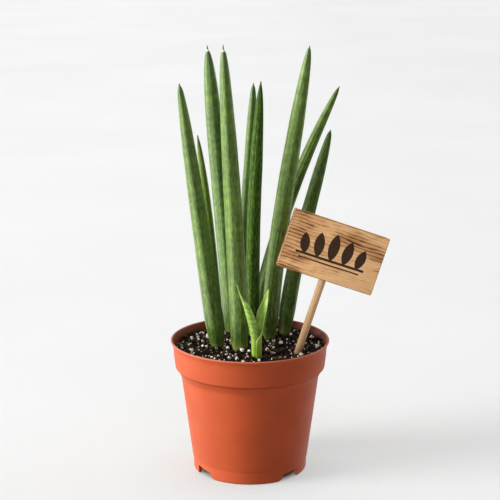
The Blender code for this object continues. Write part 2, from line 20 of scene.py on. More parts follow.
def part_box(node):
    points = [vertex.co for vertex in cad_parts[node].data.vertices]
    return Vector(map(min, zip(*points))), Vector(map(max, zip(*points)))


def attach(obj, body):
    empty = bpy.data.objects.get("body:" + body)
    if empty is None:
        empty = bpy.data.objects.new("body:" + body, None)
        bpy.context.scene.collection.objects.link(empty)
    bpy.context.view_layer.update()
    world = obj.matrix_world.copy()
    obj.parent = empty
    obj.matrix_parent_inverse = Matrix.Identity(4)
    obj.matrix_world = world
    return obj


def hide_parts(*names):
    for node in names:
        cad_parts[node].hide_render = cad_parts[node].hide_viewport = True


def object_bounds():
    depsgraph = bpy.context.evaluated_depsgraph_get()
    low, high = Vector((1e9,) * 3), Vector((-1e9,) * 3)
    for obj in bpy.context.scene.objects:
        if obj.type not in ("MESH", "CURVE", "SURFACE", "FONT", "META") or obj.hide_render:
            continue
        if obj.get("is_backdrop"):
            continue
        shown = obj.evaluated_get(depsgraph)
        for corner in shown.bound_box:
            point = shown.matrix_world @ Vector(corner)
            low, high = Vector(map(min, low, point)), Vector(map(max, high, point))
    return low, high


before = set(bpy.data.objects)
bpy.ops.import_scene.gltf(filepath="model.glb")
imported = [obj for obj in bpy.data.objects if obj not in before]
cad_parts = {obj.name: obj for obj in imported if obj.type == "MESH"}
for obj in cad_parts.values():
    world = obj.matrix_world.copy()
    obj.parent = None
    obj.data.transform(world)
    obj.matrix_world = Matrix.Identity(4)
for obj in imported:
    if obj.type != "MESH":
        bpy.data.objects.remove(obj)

MM = 0.001
SCENE = bpy.context.scene
CAD_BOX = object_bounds()
POT_LOW, POT_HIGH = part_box("pot")
POT_AXIS = Vector(((POT_LOW.x + POT_HIGH.x) / 2, (POT_LOW.y + POT_HIGH.y) / 2, 0))
print("pot axis in mm:", [round(value / MM, 2) for value in POT_AXIS])


def at(x, y, z):
    """A place in the world, given in mm from the middle of the pot's foot."""
    return POT_AXIS + Vector((x, y, z)) * MM


# %% [markdown]
# ## A few helpers for modelling by hand in code
#
# Blender's operators act on whatever is selected, and loading leaves the nodes selected, so
# each step first selects one piece alone. In edit mode, vertices and edges are picked by their
# place, as a person would with a box select.

# %% Select one piece, enter and leave edit mode
def only(piece):
    """Select this piece alone, and make it the active one."""
    bpy.ops.object.select_all(action="DESELECT")
    piece.select_set(True)
    bpy.context.view_layer.objects.active = piece


def start_editing(piece, selection="DESELECT"):
    """Enter edit mode with nothing selected, or everything with SELECT."""
    only(piece)
    bpy.ops.object.mode_set(mode="EDIT")
    bpy.ops.mesh.select_all(action=selection)


def stop_editing():
    bpy.ops.object.mode_set(mode="OBJECT")


# %% Pick, extrude, scale and close, all in edit mode
def pick(kind, test):
    """Select only the vertices (VERT) or edges (EDGE) that pass a test."""
    bpy.ops.mesh.select_mode(type=kind)
    bpy.ops.mesh.select_all(action="DESELECT")
    mesh = bpy.context.object.data
    cage = bmesh.from_edit_mesh(mesh)
    for part in cage.verts if kind == "VERT" else cage.edges:
        if test(part):
            part.select_set(True)
    cage.select_flush_mode()
    bmesh.update_edit_mesh(mesh)


def extrude(step=(0, 0, 0), kind="edges"):
    """Extrude the selected edges, or the whole region, by a step."""
    move = getattr(bpy.ops.mesh, f"extrude_{kind}_move")
    move(TRANSFORM_OT_translate={"value": step})


def scale(factors, middle=(0, 0, 0)):
    """Scale what is selected about a middle."""
    bpy.ops.transform.resize(value=factors, center_override=middle)


def weld(gap=0.002):
    """Select everything, and merge vertices that are closer than a gap in mm."""
    bpy.ops.mesh.select_all(action="SELECT")
    bpy.ops.mesh.remove_doubles(threshold=gap * MM)


def close_up():
    """Weld, turn every face outwards and leave edit mode."""
    weld()
    bpy.ops.mesh.normals_make_consistent(inside=False)
    stop_editing()


# %% Apply modifiers and places
def apply_modifier(piece, kind, **settings):
    """Add one modifier with its settings and apply it."""
    only(piece)
    modifier = piece.modifiers.new(kind.lower(), kind)
    for name, value in settings.items():
        setattr(modifier, name, value)
    bpy.ops.object.modifier_apply(modifier=modifier.name)


def settle(piece, matrix=None):
    """Move the piece by a matrix, and put its place, turn and scale into its mesh."""
    only(piece)
    if matrix:
        piece.matrix_world = matrix @ piece.matrix_world
    bpy.ops.object.transform_apply(location=True, rotation=True, scale=True)


def smooth_by_angle(piece, degrees):
    only(piece)
    bpy.ops.object.shade_smooth_by_angle(angle=radians(degrees))


# %% Add, copy and remove pieces
def add_object(name, data):
    made = bpy.data.objects.new(name, data)
    SCENE.collection.objects.link(made)
    return made


def add_shape(shape, name, **settings):
    """Add one of Blender's basic shapes, and put its place into its mesh."""
    bpy.ops.object.select_all(action="DESELECT")
    getattr(bpy.ops.mesh, f"primitive_{shape}_add")(**settings)
    piece = bpy.context.object
    piece.name = name
    settle(piece)
    return piece


def copy_of(piece, name):
    """A copy with its own mesh, unparented, at the same place in the world."""
    made = add_object(name, piece.data.copy())
    made.data.name = name
    made.matrix_world = piece.matrix_world.copy()
    return made


def remove(*pieces):
    for piece in pieces:
        bpy.data.objects.remove(piece, do_unlink=True)


# %% Finish a piece
def mark(piece, name, kind, measure):
    """Store a measure of every vertex's place in an attribute, for a finish to read."""
    attribute = piece.data.attributes.new(name, kind, "POINT")
    field = "vector" if kind == "FLOAT_VECTOR" else "value"
    for vertex, stored in zip(piece.data.vertices, attribute.data):
        setattr(stored, field, measure(vertex.co))


def dress(piece, slot, finish, *nodes):
    """Give a shaped piece its material and body, and hide the CAD nodes it replaces."""
    piece.data.materials.clear()
    piece.data.materials.append(finish)
    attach(piece, "root")
    if nodes:
        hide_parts(*nodes)
    print(piece.name, "faces:", len(piece.data.polygons))


# %% [markdown]
# ## Shader maths that reads like a formula
#
# A procedural material is a long chain of small nodes. Wiring each by hand hides the idea, so a
# small class wraps a socket and adds a Math node at each +, -, * or /. Colours never go through
# it, since maths would turn them grey: a Mix node blends them.

# %% A socket that takes part in sums
def maths(operation, swapped=False):
    """A method that adds a Math node; it swaps its numbers where the plain one comes first."""
    def method(level, other=0):
        first, second = (other, level) if swapped else (level, other)
        return level.finish.node("Math", {"operation": operation}, {0: first, 1: second})
    return method


class Level:
    """A number that varies over the surface, as a socket of a finish's nodes."""

    def __init__(self, finish, socket):
        self.finish = finish
        self.socket = socket

    __add__ = __radd__ = maths("ADD")
    __sub__ = maths("SUBTRACT")
    __rsub__ = maths("SUBTRACT", swapped=True)
    __mul__ = __rmul__ = maths("MULTIPLY")
    __truediv__ = maths("DIVIDE")
    __abs__ = maths("ABSOLUTE")
    power = maths("POWER")
    sine = maths("SINE")
    most = maths("MAXIMUM")
    least = maths("MINIMUM")

    def wave(self, length):
        """Swings between 0 and 1, once in every length."""
        return (self * (tau / length)).sine() * 0.5 + 0.5

    def rise(self, low, high):
        """0 below low, 1 above high and smooth between; it falls where low is above high."""
        return self.finish.node("MapRange", {"interpolation_type": "SMOOTHSTEP"},
                                {0: self, 1: low, 2: high, 3: 0, 4: 1})


# %% A material under construction
class Finish:
    """A material or a world with one shader, and the nodes that feed it."""

    def __init__(self, name, kind="materials", shader="Principled BSDF"):
        self.made = getattr(bpy.data, kind).new(name)
        self.made.use_nodes = True
        self.tree = self.made.node_tree
        self.shader = self.tree.nodes[shader]

    def node(self, kind, settings=None, values=None, output=0):
        """Add a node: settings first, then its sockets' values or links."""
        made = self.tree.nodes.new("ShaderNode" + kind)
        for name, value in (settings or {}).items():
            setattr(made, name, value)
        for name, value in (values or {}).items():
            self.feed(made.inputs[name], value)
        return Level(self, made.outputs[output])

    def feed(self, socket, value):
        """Link a level to a socket, or set the socket's own value."""
        if isinstance(value, Level):
            self.tree.links.new(value.socket, socket)
        else:
            socket.default_value = (*value, 1) if socket.type == "RGBA" else value

    def mix(self, share, first, second):
        """Blend two colours; a share of 0 gives the first."""
        return self.node("Mix", {"data_type": "RGBA"}, {0: share, 6: first, 7: second}, output=2)

    def layered(self, share, first, second, *layers):
        """Blend two colours, and lay others over them, each given as (share, colour)."""
        colour = self.mix(share, first, second)
        for share, over in layers:
            colour = self.mix(share, colour, over)
        return colour

    def place(self):
        """The point on the object, in metres."""
        return self.node("TexCoord", output="Object")

    def from_pot(self):
        """The same point in mm from the middle of the pot's foot."""
        return self.stretched(self.place(), (1 / MM,) * 3, -POT_AXIS / MM)

    def attribute(self, name, output="Fac"):
        return self.node("Attribute", {"attribute_name": name}, output=output)

    def points(self, operation, first, second, output=0):
        return self.node("VectorMath", {"operation": operation}, {0: first, 1: second}, output)

    def stretched(self, vector, factors, shift=(0, 0, 0)):
        """A point multiplied by a factor each way and then shifted."""
        return self.points("ADD", self.points("MULTIPLY", vector, factors), shift)

    def axes(self, vector):
        """A point's X, Y and Z."""
        return [self.node("SeparateXYZ", None, {0: vector}, output=way) for way in range(3)]

    def off_axis(self, vector):
        """A point's distance from the Z axis."""
        return self.points("LENGTH", self.stretched(vector, (1, 1, 0)), (0, 0, 0), "Value")

    def noise(self, vector, scale, detail=2, roughness=0.5):
        return self.node("TexNoise", None, {"Vector": vector, "Scale": scale,
                                            "Detail": detail, "Roughness": roughness})

    def streaks(self, vector, factors, detail=2, roughness=0.5):
        """Noise squeezed by a factor each way: the smaller it is, the longer the streaks."""
        return self.noise(self.stretched(vector, factors), 1, detail, roughness)

    def feed_shader(self, values):
        for name, value in values.items():
            self.feed(self.shader.inputs[name], value)

    def finished(self, colour, roughness, relief, depth, gloss=0.5):
        """Feed the shader; the relief becomes a bump of a real depth in mm."""
        bump = self.node("Bump", None, {"Height": relief, "Distance": depth * MM, "Strength": 1})
        self.feed_shader({"Base Color": colour, "Roughness": roughness, "Normal": bump,
                          "Specular IOR Level": gloss})
        return self.made


def scaled(colour, factor):
    """A colour made lighter or darker by a factor."""
    return tuple(factor * value for value in colour)


# %% [markdown]
# ## Camera, floor and light
#
# The photograph looks down on the plant a little. Its main light stands low at the left, so
# round things turn dark at their middle. A wide sun lamp is that softbox, and a weak one stands
# straight above. The white table glows as well, which keeps shadows faint. Its glow is painted
# light, with painted shade under the pot and a painted shadow behind it to the right.
# Gloss doesn't see the table, because a sheen needs one clear source: it sees a world with a
# reflector low at the left, for the waxy light, and panels behind, for thin pale rims. The
# camera sees white.

# %% Camera
CAMERA_BACK = 1.1661
CAMERA_HEIGHT = 0.45335
CAMERA_TILT = 13.65
CAMERA_LENS = 115.6
PHOTO_GAMMA = 0.84

camera_data = bpy.data.cameras.new("camera")
camera_data.sensor_width = 36
camera_data.lens = CAMERA_LENS
camera = add_object("camera", camera_data)
camera.location = (POT_AXIS.x, -CAMERA_BACK, CAMERA_HEIGHT)
camera.rotation_euler = (radians(90 - CAMERA_TILT), 0, 0)
bpy.context.scene.camera = camera
SCENE.view_settings.view_transform = "Standard"
SCENE.view_settings.gamma = PHOTO_GAMMA


# %% Floor
def table_finish():
    """A white table that glows: painted light, with painted shade under and beside the pot."""
    finish = Finish("glowing_table")
    point = finish.place()
    tooth = finish.noise(point, 900, 3, 0.6)
    cloud = finish.noise(point, 3)
    colour = finish.mix(cloud.rise(0.3, 0.7), (0.33, 0.33, 0.328), (0.35, 0.35, 0.35))
    from_pot = finish.from_pot()
    right, back, _ = finish.axes(from_pot)
    radius = finish.off_axis(from_pot)
    # Painted shade: no glow under the pot; painted light: a little more glow just around it.
    lit = radius.rise(34, 44) * 1.06 - radius.rise(50, 140) * 0.06
    # Painted shade: the glow dims towards the right and far behind.
    painted_dimming = right.rise(-280, 420) * 0.09 + finish.axes(point)[1].rise(0.3, 3) * 0.06
    # Painted shadow: the glow dims behind and to the right of the pot.
    painted_shadow = right.rise(0, 60) * radius.rise(170, 60) * back.rise(0, 80) * 0.12
    # Painted light: a cooler glow near the pot, against the red light the pot throws.
    painted_cool_tint = finish.mix(radius.rise(130, 50), (1, 1, 0.996), (0.92, 0.99, 0.98))
    painted_glow = finish.mix(lit * (1 - painted_dimming - painted_shadow), (0, 0, 0), painted_cool_tint)
    finish.feed_shader({"Emission Color": painted_glow, "Emission Strength": 0.46})
    return finish.finished(colour, 0.9, tooth, 0.25)


floor = add_shape("plane", "studio_floor", size=14)
floor.data.materials.append(table_finish())
floor.visible_glossy = False
floor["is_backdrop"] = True


# %% Light
def add_softbox(name, from_left, height, strength, width):
    """A wide sun that stands left of the camera by an angle, at a height, in degrees."""
    data = bpy.data.lights.new(name, "SUN")
    data.energy = strength
    data.angle = radians(width)
    sun = add_object(name, data)
    sun.rotation_euler = (radians(90 - height), 0, -radians(from_left))


add_softbox("left_softbox", from_left=75, height=17, strength=4.3, width=32)
add_softbox("top_softbox", from_left=0, height=88, strength=0.9, width=80)


# %% A world that is brighter behind the plant
def backdrop_world():
    backdrop = Finish("white_backdrop", "worlds", "Background")
    direction = backdrop.node("TexCoord", output="Generated")
    right, back, up = backdrop.axes(direction)
    room = 0.42 + 0.48 * back.rise(-0.3, 0.8)
    behind = (0.6 * abs(right) + 0.8 * back).rise(0.35, 0.95)
    reflector = (-0.94 * right - 0.34 * back).rise(0.35, 0.9)
    below = up.rise(0.1, -0.1)
    panels = (0.8 * abs(right) + 0.6 * back).rise(0.85, 0.98)
    above = room + 1.6 * panels
    light = above * (1 - below) + (0.02 + 1.1 * behind + 2.8 * reflector) * below
    seen = backdrop.node("LightPath", output="Is Camera Ray")
    backdrop.feed_shader({"Strength": light * (1 - seen) + 0.93 * seen, "Color": (0.98, 0.99, 1)})
    return backdrop.made


SCENE.world = backdrop_world()


# %% [markdown]
# ## The pot
#
# The real pot is moulded from terracotta-coloured plastic about a millimetre thick: a rounded
# lip, a straight band for gripping, a slanted shoulder, a tapered body and a foot ring with
# gaps that let water out. It could be a stack of cylinders. Here its outline is drawn once, by
# extruding one vertex from corner to corner, and then spun, so every rounding is exact.

# %% Outline of the pot's wall
SPIN_STEPS = 144


def arc(middle, radius, start, end, steps):
    """Points of a circle's arc in the outline's plane, angles in degrees."""
    turns = [radians(start + (end - start) * step / steps) for step in range(steps + 1)]
    return [(middle[0] + radius * cos(turn), middle[1] + radius * sin(turn)) for turn in turns]


def pot_outline():
    """Radius and height in mm, from the middle of the floor inside, over the lip, to below."""
    inside = [(0, 9.8), (40.4, 9.8), *arc((40.4, 12), 2.2, -90, -4, 5), (51, 73.5),
              (51.6, 75.6), (54.9, 81), (55.5, 83), (56.4, 94.6), (56.8, 96.8), (57.5, 98.6),
              (58.1, 99.8)]
    lip = [*arc((59.2, 100.4), 0.9, 175, 90, 5), *arc((59.25, 100.55), 0.75, 88, -30, 7),
           (59.6, 99.5), (59.15, 98.7), (58.7, 97.7), (58.3, 96.3), (58, 94.6), (57.85, 92.6),
           (57.8, 90.5)]
    outside = [*arc((56.2, 80.95), 0.45, 5, -75, 4), (55.75, 80.45), (55.3, 79.9), (53, 75.2),
               (52.3, 74), (51.95, 72), (43.9, 10.4), (43.75, 10.05), (43.35, 9.8)]
    foot = [(43, 1), *arc((42, 0.6), 0.6, 0, -90, 3), *arc((41.2, 0.6), 0.6, -90, -180, 3),
            (40.6, 7.9), (39.9, 8.6), (0, 8.6)]
    return inside + lip + outside + foot


# %% Draw the outline and spin it
def add_vertex(place, name):
    """A mesh of one vertex in edit mode, from which an outline is drawn."""
    piece = add_shape("plane", name, size=MM)
    start_editing(piece, "SELECT")
    bpy.ops.mesh.merge(type="CENTER")
    bpy.ops.transform.translate(value=place)
    return piece


def draw_on(places):
    """Extrude the selected vertex from place to place."""
    for here, after in zip(places, places[1:]):
        extrude(after - here, "region")


outline = [at(radius, 0, height) for radius, height in pot_outline()]
pot = add_vertex(outline[0], "pot_moulded")
draw_on(outline)
bpy.ops.mesh.select_all(action="SELECT")
bpy.ops.mesh.spin(steps=SPIN_STEPS, angle=tau, center=POT_AXIS, axis=(0, 0, 1))
close_up()


# %% [markdown]
# The gaps in the foot are cut with a block of the gap's shape, drawn like the pot and then
# extruded; one end of each is rounder than the other. The drainage holes are drilled with short
# cylinders.

# %% Cut the foot gaps and the drainage holes
FOOT_GAPS = ((36, 1), (126, -1), (216, 1), (315, -1))  # angle in degrees, side of the round end
FOOT_RADIUS = 42
GAP_DEPTH = 8
DRAIN_HOLES = 8
DRAIN_CIRCLE = 27
DRAIN_RADIUS = 3.5
FLOOR_MIDDLE = 9.2


def gap_outline(side):
    """A gap seen from outside, as (across, up) in mm; side is 1 or -1, where it is round."""
    corners = [(12.5, -2), *arc((12.5, 5), 5, -90, -180, 8), (-6.9, 6.8), (-7.3, 6.65),
               (-7.5, 6.3), *arc((-9.1, 1.6), 1.6, 0, -90, 4), (-9.1, -2), (12.5, -2)]
    return [(side * across, up) for across, up in corners]


def foot_gap_cutter(angle, side):
    """A block of the gap's shape, laid across the foot ring."""
    corners = [Vector((-GAP_DEPTH / 2, across, up)) * MM for across, up in gap_outline(side)]
    block = add_vertex(corners[0], "foot_gap")
    draw_on(corners)
    weld()
    bpy.ops.mesh.edge_face_add()
    extrude((GAP_DEPTH * MM, 0, 0), "region")
    close_up()
    turn = Matrix.Rotation(radians(angle), 4, "Z")
    outwards = Matrix.Translation((FOOT_RADIUS * MM, 0, 0))
    settle(block, Matrix.Translation(POT_AXIS) @ turn @ outwards)
    return block


def cut_out(piece, cutter):
    """Take the cutter's shape out of the piece and remove the cutter."""
    apply_modifier(piece, "BOOLEAN", object=cutter, operation="DIFFERENCE", solver="EXACT")
    remove(cutter)


for angle, side in FOOT_GAPS:
    cut_out(pot, foot_gap_cutter(angle, side))
for number in range(DRAIN_HOLES):
    angle = tau * (number + 0.5) / DRAIN_HOLES
    middle = at(DRAIN_CIRCLE * cos(angle), DRAIN_CIRCLE * sin(angle), FLOOR_MIDDLE)
    cut_out(pot, add_shape("cylinder", "drain_drill", vertices=24, radius=DRAIN_RADIUS * MM,
                           depth=4 * MM, location=middle))
smooth_by_angle(pot, 32)


# %% [markdown]
# The plastic is satin: a fine grain from the mould breaks up its highlights. It has faint
# rings, pale scuffs, a few dark specks, and darker patches inside the lip. A painted highlight
# runs along the lip's top, and a thin painted shade lies under the band.

# %% Terracotta plastic
def plastic_finish():
    finish = Finish("terracotta_plastic")
    point = finish.from_pot()
    height = finish.axes(point)[2]
    radius = finish.off_axis(point)
    cloud = finish.noise(point, 0.045, 3)
    fine = finish.noise(point, 2.6, 2, 0.6)
    rings = finish.streaks(point, (0.002, 0.002, 0.42))
    speck = finish.noise(point, 0.42, 1).rise(0.8, 0.82)
    scuff = finish.streaks(point, (0.26, 0.26, 0.9), 3, 0.65).rise(0.66, 0.8)
    wall_middle = 57.1 + (height - 94).most(0) * 0.34
    # Darker on the inner wall above the soil, more so in patches.
    inner = (radius - wall_middle).rise(0.15, -0.15) * height.rise(91.5, 93.5)
    dust = finish.noise(point, 0.33, 4, 0.7).rise(0.42, 0.62) * height.rise(100.5, 97)
    # Painted highlight: paler along the top of the lip.
    painted_lip_highlight = height.rise(99.9, 100.9) * (0.5 + 0.5 * cloud)
    # Painted shade: a thin dark line just under the band's lower edge.
    painted_shade_under_band = height.rise(78, 79.6) * height.rise(80.75, 80.5)
    colour = finish.layered(
        cloud.rise(0.3, 0.7), (0.45, 0.084, 0.018), (0.415, 0.075, 0.015),
        (rings * 0.14, (0.44, 0.075, 0.028)),
        (scuff * 0.12, (0.7, 0.25, 0.14)),
        (speck * 0.6, (0.12, 0.04, 0.025)),
        (inner * (0.4 + 0.45 * dust), (0.1, 0.04, 0.028)),
        (painted_lip_highlight * 0.5, (0.62, 0.27, 0.19)),
        (painted_shade_under_band * 0.45, (0.2, 0.035, 0.015)))
    rough = 0.46 + 0.1 * cloud + 0.1 * scuff
    relief = 0.6 * fine + 0.25 * rings + 0.2 * scuff
    return finish.finished(colour, rough, relief, 0.04, gloss=0.4)


dress(pot, "terracotta_plastic", plastic_finish(), "pot")


# %% [markdown]
# ## The soil
#
# Peat is a heap of crumbs, so it is modelled in two layers. Underneath lies one closed block
# that fills the pot: rings that follow a low mound, roughened by a coarse displacement and a
# fine one. Crumbs and perlite are scattered on it later.

# %% Lay out the soil's surface in rings
SOIL_RINGS = 56
SOIL_RADIUS = 56.1
SOIL_EDGE = 94.3
SOIL_CROWN = 3.7
POT_REACH = 57.8


def mound(x, y):
    """Height of the soil's mound in mm at a place in mm from the pot's axis."""
    share = min(hypot(x, y) / POT_REACH, 1)
    return SOIL_EDGE + SOIL_CROWN * (1 - share * share)


soil = add_shape("circle", "soil_peat", vertices=192, radius=SOIL_RADIUS * MM,
                 location=at(0, 0, mound(SOIL_RADIUS, 0)))
start_editing(soil, "SELECT")
for ring in range(SOIL_RINGS, 1, -1):
    here, after = (SOIL_RADIUS * place / SOIL_RINGS for place in (ring, ring - 1))
    extrude((0, 0, (mound(after, 0) - mound(here, 0)) * MM))
    scale((after / here, after / here, 1), POT_AXIS)
extrude()
bpy.ops.mesh.merge(type="CENTER")
stop_editing()


# %% Roughen it, then close it along the pot's wall
SOIL_WALL = ((55.9, 91), (54.2, 81), (50.6, 73.3), (42.3, 12.4), (40.3, 10.1))


def roughen(piece, name, size, depth, strength, direction="NORMAL"):
    """Displace a piece by soft random lumps; size and strength are in mm."""
    texture = bpy.data.textures.new(name, "CLOUDS")
    texture.noise_scale = size * MM
    texture.noise_depth = depth
    apply_modifier(piece, "DISPLACE", texture=texture, direction=direction,
                   strength=strength * MM)


roughen(soil, "soil_lumps", size=9, depth=2, strength=2.2, direction="Z")
roughen(soil, "soil_crumble", size=2.4, depth=3, strength=1.5, direction="Z")
start_editing(soil)
pick("EDGE", lambda edge: edge.is_boundary)
width = SOIL_RADIUS
for radius, height in SOIL_WALL:
    extrude()
    scale((radius / width, radius / width, 0), at(0, 0, height))
    width = radius
bpy.ops.mesh.edge_face_add()
close_up()
smooth_by_angle(soil, 180)


# %% [markdown]
# Wet peat is nearly black, and its dry fibres are brown. The colour follows three scales of
# noise, and a strong bump keeps the surface matt and ragged between the crumbs.

# %% Peat
def peat_finish(name, lightness, tone=None):
    """Ragged dark peat; a tone from 0 to 1 turns whole crumbs from black to straw brown."""
    finish = Finish(name)
    point = finish.place()
    coarse = finish.noise(point, 160, 4, 0.7)
    fine = finish.noise(point, 950, 4, 0.75)
    dry = finish.streaks(point, (700, 380, 500), 3, 0.7).rise(0.56, 0.72)
    layers = []
    if tone:
        own = finish.attribute(tone)
        layers = [(own.rise(0.45, 0.9) * 0.75, (0.135, 0.078, 0.047)),
                  (own.rise(0.93, 0.98) * 0.7, (0.27, 0.17, 0.09))]
    dark, brown, straw = (scaled(colour, lightness) for colour in (
        (0.008, 0.005, 0.004), (0.035, 0.021, 0.014), (0.14, 0.085, 0.045)))
    colour = finish.layered(coarse.rise(0.35, 0.65), dark, brown, *layers, (dry * 0.4, straw))
    return finish.finished(colour, 0.7 + 0.25 * fine, coarse * 0.6 + fine, 0.6, gloss=0.15)


dress(soil, "potting_soil", peat_finish("peat", 1), "soil")


# %% [markdown]
# ## The mature leaves
#
# A leaf of this plant is a rolled, nearly round column with shallow grooves and a short point.
# Nine leaves could be nine separate models. It is quicker and more even to model one straight
# blank, a grooved circle extruded ring by ring, and to bend a copy along each leaf's own middle
# line with the Curve modifier. The guide's radius gives the leaf its girth, waist and taper.

# %% The nine leaves, in mm from the pot's axis
Leaf = namedtuple("Leaf", "foot tip low high back girth full taper waist spine")
LEAVES = {
    # low, high and back: how far it bows; full and taper: how far up and how bluntly it ends
    "leaf_outer_left": Leaf((-24, -8), (-50.5, -22, 296.5), 0, 0.5, -2, 14.7, 1.4, 0.37, 0.7, 1.5),
    "leaf_thin_left": Leaf((-24.5, 38), (-40, 47, 248), 0.5, 2.5, 2, 8.5, 3, 0.54, 0.85, 1),
    "leaf_tall_left": Leaf((-14, 33), (-31.5, 26, 317), 1, 0, 3, 12.8, 7.7, 0.53, 0.87, 3),
    "leaf_tall_centre": Leaf((-7.5, -15.5), (-19, -24, 322.5), 2, 0, -2, 14.5, 2, 0.36, 0.84, 3.5),
    "leaf_middle_back": Leaf((-6, 43), (2.5, 50, 287.5), -1.5, 1, 2, 10.5, 4.6, 0.46, 0.85, 1),
    "leaf_middle_front": Leaf((3, 20), (8, 17, 293.5), -4.5, -2, 0, 10.5, 5.5, 0.64, 0.83, 1),
    "leaf_tall_right": Leaf((14.5, 10.5), (43, -3, 322), -6.5, -2, -3, 13.5, 3.6, 0.47, 0.7, 1),
    "leaf_leaning_right": Leaf((3, 33), (68, 56, 284.5), -11, -10, 3, 10.6, 3.1, 0.45, 0.85, 1),
    "leaf_outer_right": Leaf((26.5, 25), (61, 40, 253.5), -6.5, -2, 2, 12.5, 2.5, 0.42, 0.68, 1),
}
BURIED = 26
GUIDE_STEPS = 160
SPINE_WIDTHS = ((0.3, 0.46), (0.65, 0.36), (1, 0.18))


# %% Middle line and radius of a leaf
def leaf_point(leaf, t):
    """A point on the middle line in mm, from the soil at 0 to the end of the green at 1."""
    start = Vector((*leaf.foot, mound(*leaf.foot)))
    low_pull = Vector((leaf.low, leaf.back, 0)) * 3 * t * (1 - t) ** 2
    high_pull = Vector((leaf.high, leaf.back, 0)) * 3 * t * t * (1 - t)
    return start.lerp(Vector(leaf.tip), t) + low_pull + high_pull


def leaf_radius(leaf, t):
    """The radius in mm at the same place, with a waist at the soil."""
    height = t * (leaf.tip[2] - SOIL_EDGE)
    narrowing = 1 - (1 - leaf.waist) * exp(-(height / 12) ** 2)
    narrowing *= 1 - 0.12 * exp(-(height / 3) ** 2)
    return leaf.girth / 2 * (1 - t ** leaf.full) ** leaf.taper * narrowing


def green_length(leaf):
    """Length in mm of the middle line above the soil."""
    line = [leaf_point(leaf, step / GUIDE_STEPS) for step in range(GUIDE_STEPS + 1)]
    return sum((after - here).length for here, after in zip(line, line[1:]))


for name, leaf in LEAVES.items():
    print(name, "is", round(green_length(leaf)), "mm long above the soil")


# %% [markdown]
# The blank stands on its root end at height -1, meets the soil at 0, ends its green part at 1
# and its dry point at 2. Each copy stretches these three lengths to its own.

# %% Model the straight, ribbed blank
RIBS = 7
STEPS_PER_RIB = 10
GREEN_RINGS = 84
GROOVE_SQUEEZES = (0.945, 0.972, 0.99, 0.998)


def groove_step(point):
    """Steps of the circle from a vertex to the nearest groove's bottom."""
    turn = atan2(point.y, point.x) / tau * RIBS * STEPS_PER_RIB
    return abs(round(turn) % STEPS_PER_RIB - STEPS_PER_RIB // 2)


def blank_heights():
    """Heights of the blank's rings, closest together near the tip."""
    buried = [-1, -0.5, -0.15, 0]
    green = [1 - (1 - ring / GREEN_RINGS) ** 1.5 for ring in range(1, GREEN_RINGS + 1)]
    spine = [1 + ring / 6 for ring in range(1, 7)]
    return buried + green + spine


blank = add_shape("circle", "leaf_blank", vertices=RIBS * STEPS_PER_RIB, radius=MM,
                  location=(0, 0, -1))
start_editing(blank)
for step, squeeze in enumerate(GROOVE_SQUEEZES):
    pick("VERT", lambda vertex: groove_step(vertex.co) == step)
    scale((squeeze, squeeze, 1))
bpy.ops.mesh.select_all(action="SELECT")
levels = blank_heights()
for here, after in zip(levels, levels[1:]):
    extrude((0, 0, after - here))
extrude()
bpy.ops.mesh.merge(type="CENTER")
pick("EDGE", lambda edge: edge.is_boundary)
bpy.ops.mesh.edge_face_add()
close_up()
print("blank:", len(blank.data.vertices), "vertices")


# %% Guide curve of one leaf
def guide_stations(leaf):
    """Places along the whole leaf as (point, radius), in mm, root end first."""
    foot, tip = leaf_point(leaf, 0), leaf_point(leaf, 1)
    down = (foot - leaf_point(leaf, 0.02)).normalized()
    along = (tip - leaf_point(leaf, 0.98)).normalized()
    radius = leaf_radius(leaf, 0)
    stations = [(foot + down * BURIED, 0.62 * radius), (foot + down * BURIED / 2, 0.81 * radius)]
    for step in range(GUIDE_STEPS + 1):
        t = 1 - (1 - step / GUIDE_STEPS) ** 1.6
        stations.append((leaf_point(leaf, t), max(leaf_radius(leaf, t), 0.6)))
    for share, width in SPINE_WIDTHS:
        stations.append((tip + along * leaf.spine * share, width))
    return stations


def guide_curve(leaf, twist):
    curve = bpy.data.curves.new("leaf_guide", "CURVE")
    curve.dimensions = "3D"
    curve.twist_mode = "MINIMUM"
    curve.use_radius = True
    spline = curve.splines.new("POLY")
    stations = guide_stations(leaf)
    spline.points.add(len(stations) - 1)
    for place, (point, (middle, radius)) in enumerate(zip(spline.points, stations)):
        point.co = (*at(*middle), 1)
        point.radius = radius
        point.tilt = twist * (1 + 0.25 * place / len(stations))
    return add_object("leaf_guide", curve)


# %% [markdown]
# Before a copy is bent, two attributes store where each vertex lies on the leaf, and how deep
# in a groove. The finish reads them, so that its bands and streaks follow the bend.

# %% Stretch, mark and bend a copy of the blank
A_HAIR = 1e-7
TWIST_STEP = 0.9


def stretch_above(height, factor):
    """Stretch what lies above a height, with that height kept in place."""
    pick("VERT", lambda vertex: vertex.co.z > height + A_HAIR)
    scale((1, 1, factor), (0, 0, height))


def bent_leaf(name, leaf, twist):
    """A leaf of its own size and bend, from a copy of the blank."""
    piece = copy_of(blank, name + "_ribbed")
    length = green_length(leaf) * MM
    start_editing(piece)
    stretch_above(1, leaf.spine * MM / length)
    stretch_above(0, length)
    pick("VERT", lambda vertex: vertex.co.z < -A_HAIR)
    scale((1, 1, BURIED * MM))
    stop_editing()
    mark(piece, "leaf_place", "FLOAT_VECTOR", lambda place: place / MM)
    mark(piece, "groove", "FLOAT", lambda place: max(1 - groove_step(place) / 2, 0))
    settle(piece, Matrix.Translation((0, 0, BURIED * MM)))
    guide = guide_curve(leaf, twist)
    apply_modifier(piece, "CURVE", object=guide, deform_axis="POS_Z")
    remove(guide)
    roughen(piece, name + "_waver", size=28, depth=1, strength=0.35)
    smooth_by_angle(piece, 180)
    return piece


